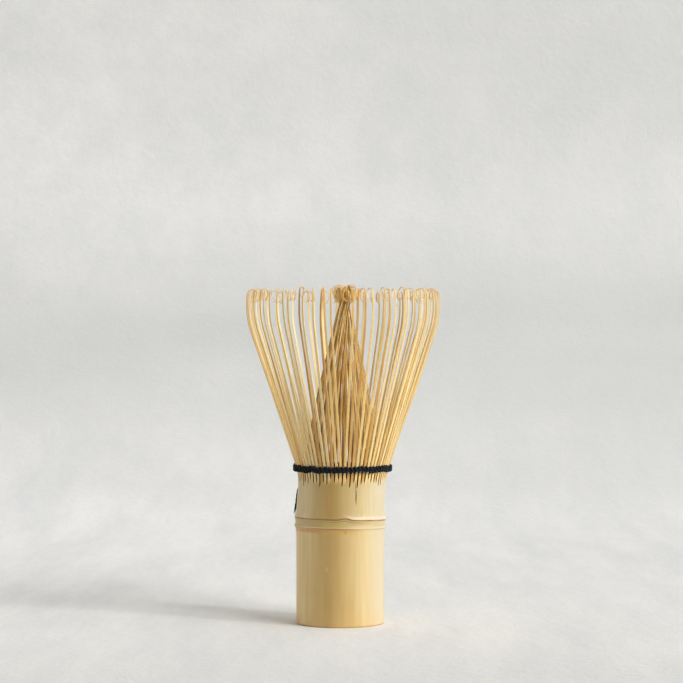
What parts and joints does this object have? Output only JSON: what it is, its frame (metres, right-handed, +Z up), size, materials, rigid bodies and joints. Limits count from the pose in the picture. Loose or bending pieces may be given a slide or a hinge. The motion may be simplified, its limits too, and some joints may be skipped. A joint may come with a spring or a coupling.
{
  "type": "bamboo tea whisk",
  "caption": "Tea whisk carved from a bamboo culm: a hollow grip with a node ring, splayed outer tines with curled tips, a gathered inner cone and a dark thread binding.",
  "frame": {"origin": "centre of the grip's cut foot, on the surface that the whisk stands on", "axes": "+Z up along the whisk's axis from the foot to the curled tips; +X to the right and -Y to the front, with the thread's loose tail at the left"},
  "size_m": [0.063, 0.063, 0.1079],
  "materials": {
    "bamboo_culm": "satin cured bamboo skin with fine vertical fibre",
    "bamboo_tines": "satin shaved bamboo",
    "thread": "matt twisted cotton"
  },
  "bodies": {
    "handle": {"grip_internode": "bamboo_culm", "node_diaphragm": "bamboo_culm", "collar_internode": "bamboo_culm", "outer_tine_roots": "bamboo_tines", "inner_tine_roots": "bamboo_tines", "binding_thread": "thread", "thread_tail": "thread"},
    "outer_segment_01": {"outer_tines_01": "bamboo_tines"},
    "outer_segment_02": {"outer_tines_02": "bamboo_tines"},
    "outer_segment_03": {"outer_tines_03": "bamboo_tines"},
    "outer_segment_04": {"outer_tines_04": "bamboo_tines"},
    "outer_segment_05": {"outer_tines_05": "bamboo_tines"},
    "outer_segment_06": {"outer_tines_06": "bamboo_tines"},
    "outer_segment_07": {"outer_tines_07": "bamboo_tines"},
    "outer_segment_08": {"outer_tines_08": "bamboo_tines"},
    "outer_segment_09": {"outer_tines_09": "bamboo_tines"},
    "outer_segment_10": {"outer_tines_10": "bamboo_tines"},
    "outer_segment_11": {"outer_tines_11": "bamboo_tines"},
    "outer_segment_12": {"outer_tines_12": "bamboo_tines"},
    "outer_segment_13": {"outer_tines_13": "bamboo_tines"},
    "outer_segment_14": {"outer_tines_14": "bamboo_tines"},
    "outer_segment_15": {"outer_tines_15": "bamboo_tines"},
    "outer_segment_16": {"outer_tines_16": "bamboo_tines"},
    "outer_segment_17": {"outer_tines_17": "bamboo_tines"},
    "outer_segment_18": {"outer_tines_18": "bamboo_tines"},
    "inner_segment_01": {"inner_tines_01": "bamboo_tines"},
    "inner_segment_02": {"inner_tines_02": "bamboo_tines"},
    "inner_segment_03": {"inner_tines_03": "bamboo_tines"},
    "inner_segment_04": {"inner_tines_04": "bamboo_tines"},
    "inner_segment_05": {"inner_tines_05": "bamboo_tines"},
    "inner_segment_06": {"inner_tines_06": "bamboo_tines"},
    "inner_segment_07": {"inner_tines_07": "bamboo_tines"},
    "inner_segment_08": {"inner_tines_08": "bamboo_tines"},
    "inner_segment_09": {"inner_tines_09": "bamboo_tines"},
    "inner_segment_10": {"inner_tines_10": "bamboo_tines"},
    "inner_segment_11": {"inner_tines_11": "bamboo_tines"},
    "inner_segment_12": {"inner_tines_12": "bamboo_tines"},
    "inner_segment_13": {"inner_tines_13": "bamboo_tines"},
    "inner_segment_14": {"inner_tines_14": "bamboo_tines"},
    "inner_segment_15": {"inner_tines_15": "bamboo_tines"},
    "inner_segment_16": {"inner_tines_16": "bamboo_tines"},
    "inner_segment_17": {"inner_tines_17": "bamboo_tines"},
    "inner_segment_18": {"inner_tines_18": "bamboo_tines"}
  },
  "joints": [
    {"name": "outer_flex_01", "type": "hinge", "parent": "handle", "child": "outer_segment_01", "pos_m": [0.0154, 0, 0.05122], "axis": [0, 1, 0], "range_deg": [-5, 6], "stiffness_Nm_per_rad": 0.01},
    {"name": "outer_flex_02", "type": "hinge", "parent": "handle", "child": "outer_segment_02", "pos_m": [0.01447, 0.00527, 0.05122], "axis": [-0.342, 0.9397, 0], "range_deg": [-5, 6], "stiffness_Nm_per_rad": 0.01},
    {"name": "outer_flex_03", "type": "hinge", "parent": "handle", "child": "outer_segment_03", "pos_m": [0.0118, 0.0099, 0.05122], "axis": [-0.6428, 0.766, 0], "range_deg": [-5, 6], "stiffness_Nm_per_rad": 0.01},
    {"name": "outer_flex_04", "type": "hinge", "parent": "handle", "child": "outer_segment_04", "pos_m": [0.0077, 0.01334, 0.05122], "axis": [-0.866, 0.5, 0], "range_deg": [-5, 6], "stiffness_Nm_per_rad": 0.01},
    {"name": "outer_flex_05", "type": "hinge", "parent": "handle", "child": "outer_segment_05", "pos_m": [0.00267, 0.01517, 0.05122], "axis": [-0.9848, 0.1736, 0], "range_deg": [-5, 6], "stiffness_Nm_per_rad": 0.01},
    {"name": "outer_flex_06", "type": "hinge", "parent": "handle", "child": "outer_segment_06", "pos_m": [-0.00267, 0.01517, 0.05122], "axis": [-0.9848, -0.1736, 0], "range_deg": [-5, 6], "stiffness_Nm_per_rad": 0.01},
    {"name": "outer_flex_07", "type": "hinge", "parent": "handle", "child": "outer_segment_07", "pos_m": [-0.0077, 0.01334, 0.05122], "axis": [-0.866, -0.5, 0], "range_deg": [-5, 6], "stiffness_Nm_per_rad": 0.01},
    {"name": "outer_flex_08", "type": "hinge", "parent": "handle", "child": "outer_segment_08", "pos_m": [-0.0118, 0.0099, 0.05122], "axis": [-0.6428, -0.766, 0], "range_deg": [-5, 6], "stiffness_Nm_per_rad": 0.01},
    {"name": "outer_flex_09", "type": "hinge", "parent": "handle", "child": "outer_segment_09", "pos_m": [-0.01447, 0.00527, 0.05122], "axis": [-0.342, -0.9397, 0], "range_deg": [-5, 6], "stiffness_Nm_per_rad": 0.01},
    {"name": "outer_flex_10", "type": "hinge", "parent": "handle", "child": "outer_segment_10", "pos_m": [-0.0154, 0, 0.05122], "axis": [0, -1, 0], "range_deg": [-5, 6], "stiffness_Nm_per_rad": 0.01},
    {"name": "outer_flex_11", "type": "hinge", "parent": "handle", "child": "outer_segment_11", "pos_m": [-0.01447, -0.00527, 0.05122], "axis": [0.342, -0.9397, 0], "range_deg": [-5, 6], "stiffness_Nm_per_rad": 0.01},
    {"name": "outer_flex_12", "type": "hinge", "parent": "handle", "child": "outer_segment_12", "pos_m": [-0.0118, -0.0099, 0.05122], "axis": [0.6428, -0.766, 0], "range_deg": [-5, 6], "stiffness_Nm_per_rad": 0.01},
    {"name": "outer_flex_13", "type": "hinge", "parent": "handle", "child": "outer_segment_13", "pos_m": [-0.0077, -0.01334, 0.05122], "axis": [0.866, -0.5, 0], "range_deg": [-5, 6], "stiffness_Nm_per_rad": 0.01},
    {"name": "outer_flex_14", "type": "hinge", "parent": "handle", "child": "outer_segment_14", "pos_m": [-0.00267, -0.01517, 0.05122], "axis": [0.9848, -0.1736, 0], "range_deg": [-5, 6], "stiffness_Nm_per_rad": 0.01},
    {"name": "outer_flex_15", "type": "hinge", "parent": "handle", "child": "outer_segment_15", "pos_m": [0.00267, -0.01517, 0.05122], "axis": [0.9848, 0.1736, 0], "range_deg": [-5, 6], "stiffness_Nm_per_rad": 0.01},
    {"name": "outer_flex_16", "type": "hinge", "parent": "handle", "child": "outer_segment_16", "pos_m": [0.0077, -0.01334, 0.05122], "axis": [0.866, 0.5, 0], "range_deg": [-5, 6], "stiffness_Nm_per_rad": 0.01},
    {"name": "outer_flex_17", "type": "hinge", "parent": "handle", "child": "outer_segment_17", "pos_m": [0.0118, -0.0099, 0.05122], "axis": [0.6428, 0.766, 0], "range_deg": [-5, 6], "stiffness_Nm_per_rad": 0.01},
    {"name": "outer_flex_18", "type": "hinge", "parent": "handle", "child": "outer_segment_18", "pos_m": [0.01447, -0.00527, 0.05122], "axis": [0.342, 0.9397, 0], "range_deg": [-5, 6], "stiffness_Nm_per_rad": 0.01},
    {"name": "inner_flex_01", "type": "hinge", "parent": "handle", "child": "inner_segment_01", "pos_m": [0.01214, 0.00053, 0.05122], "axis": [-0.0436, 0.999, 0], "range_deg": [0, 8], "stiffness_Nm_per_rad": 0.008},
    {"name": "inner_flex_02", "type": "hinge", "parent": "handle", "child": "inner_segment_02", "pos_m": [0.01123, 0.00465, 0.05122], "axis": [-0.3827, 0.9239, 0], "range_deg": [0, 8], "stiffness_Nm_per_rad": 0.008},
    {"name": "inner_flex_03", "type": "hinge", "parent": "handle", "child": "inner_segment_03", "pos_m": [0.00896, 0.00821, 0.05122], "axis": [-0.6756, 0.7373, 0], "range_deg": [0, 8], "stiffness_Nm_per_rad": 0.008},
    {"name": "inner_flex_04", "type": "hinge", "parent": "handle", "child": "inner_segment_04", "pos_m": [0.00561, 0.01078, 0.05122], "axis": [-0.887, 0.4617, 0], "range_deg": [0, 8], "stiffness_Nm_per_rad": 0.008},
    {"name": "inner_flex_05", "type": "hinge", "parent": "handle", "child": "inner_segment_05", "pos_m": [0.00159, 0.01205, 0.05122], "axis": [-0.9914, 0.1305, 0], "range_deg": [0, 8], "stiffness_Nm_per_rad": 0.008},
    {"name": "inner_flex_06", "type": "hinge", "parent": "handle", "child": "inner_segment_06", "pos_m": [-0.00263, 0.01186, 0.05122], "axis": [-0.9763, -0.2164, 0], "range_deg": [0, 8], "stiffness_Nm_per_rad": 0.008},
    {"name": "inner_flex_07", "type": "hinge", "parent": "handle", "child": "inner_segment_07", "pos_m": [-0.00653, 0.01025, 0.05122], "axis": [-0.8434, -0.5373, 0], "range_deg": [0, 8], "stiffness_Nm_per_rad": 0.008},
    {"name": "inner_flex_08", "type": "hinge", "parent": "handle", "child": "inner_segment_08", "pos_m": [-0.00964, 0.0074, 0.05122], "axis": [-0.6088, -0.7934, 0], "range_deg": [0, 8], "stiffness_Nm_per_rad": 0.008},
    {"name": "inner_flex_09", "type": "hinge", "parent": "handle", "child": "inner_segment_09", "pos_m": [-0.01159, 0.00365, 0.05122], "axis": [-0.3007, -0.9537, 0], "range_deg": [0, 8], "stiffness_Nm_per_rad": 0.008},
    {"name": "inner_flex_10", "type": "hinge", "parent": "handle", "child": "inner_segment_10", "pos_m": [-0.01214, -0.00053, 0.05122], "axis": [0.0436, -0.999, 0], "range_deg": [0, 8], "stiffness_Nm_per_rad": 0.008},
    {"name": "inner_flex_11", "type": "hinge", "parent": "handle", "child": "inner_segment_11", "pos_m": [-0.01123, -0.00465, 0.05122], "axis": [0.3827, -0.9239, 0], "range_deg": [0, 8], "stiffness_Nm_per_rad": 0.008},
    {"name": "inner_flex_12", "type": "hinge", "parent": "handle", "child": "inner_segment_12", "pos_m": [-0.00896, -0.00821, 0.05122], "axis": [0.6756, -0.7373, 0], "range_deg": [0, 8], "stiffness_Nm_per_rad": 0.008},
    {"name": "inner_flex_13", "type": "hinge", "parent": "handle", "child": "inner_segment_13", "pos_m": [-0.00561, -0.01078, 0.05122], "axis": [0.887, -0.4617, 0], "range_deg": [0, 8], "stiffness_Nm_per_rad": 0.008},
    {"name": "inner_flex_14", "type": "hinge", "parent": "handle", "child": "inner_segment_14", "pos_m": [-0.00159, -0.01205, 0.05122], "axis": [0.9914, -0.1305, 0], "range_deg": [0, 8], "stiffness_Nm_per_rad": 0.008},
    {"name": "inner_flex_15", "type": "hinge", "parent": "handle", "child": "inner_segment_15", "pos_m": [0.00263, -0.01186, 0.05122], "axis": [0.9763, 0.2164, 0], "range_deg": [0, 8], "stiffness_Nm_per_rad": 0.008},
    {"name": "inner_flex_16", "type": "hinge", "parent": "handle", "child": "inner_segment_16", "pos_m": [0.00653, -0.01025, 0.05122], "axis": [0.8434, 0.5373, 0], "range_deg": [0, 8], "stiffness_Nm_per_rad": 0.008},
    {"name": "inner_flex_17", "type": "hinge", "parent": "handle", "child": "inner_segment_17", "pos_m": [0.00964, -0.0074, 0.05122], "axis": [0.6088, 0.7934, 0], "range_deg": [0, 8], "stiffness_Nm_per_rad": 0.008},
    {"name": "inner_flex_18", "type": "hinge", "parent": "handle", "child": "inner_segment_18", "pos_m": [0.01159, -0.00365, 0.05122], "axis": [0.3007, 0.9537, 0], "range_deg": [0, 8], "stiffness_Nm_per_rad": 0.008}
  ]
}
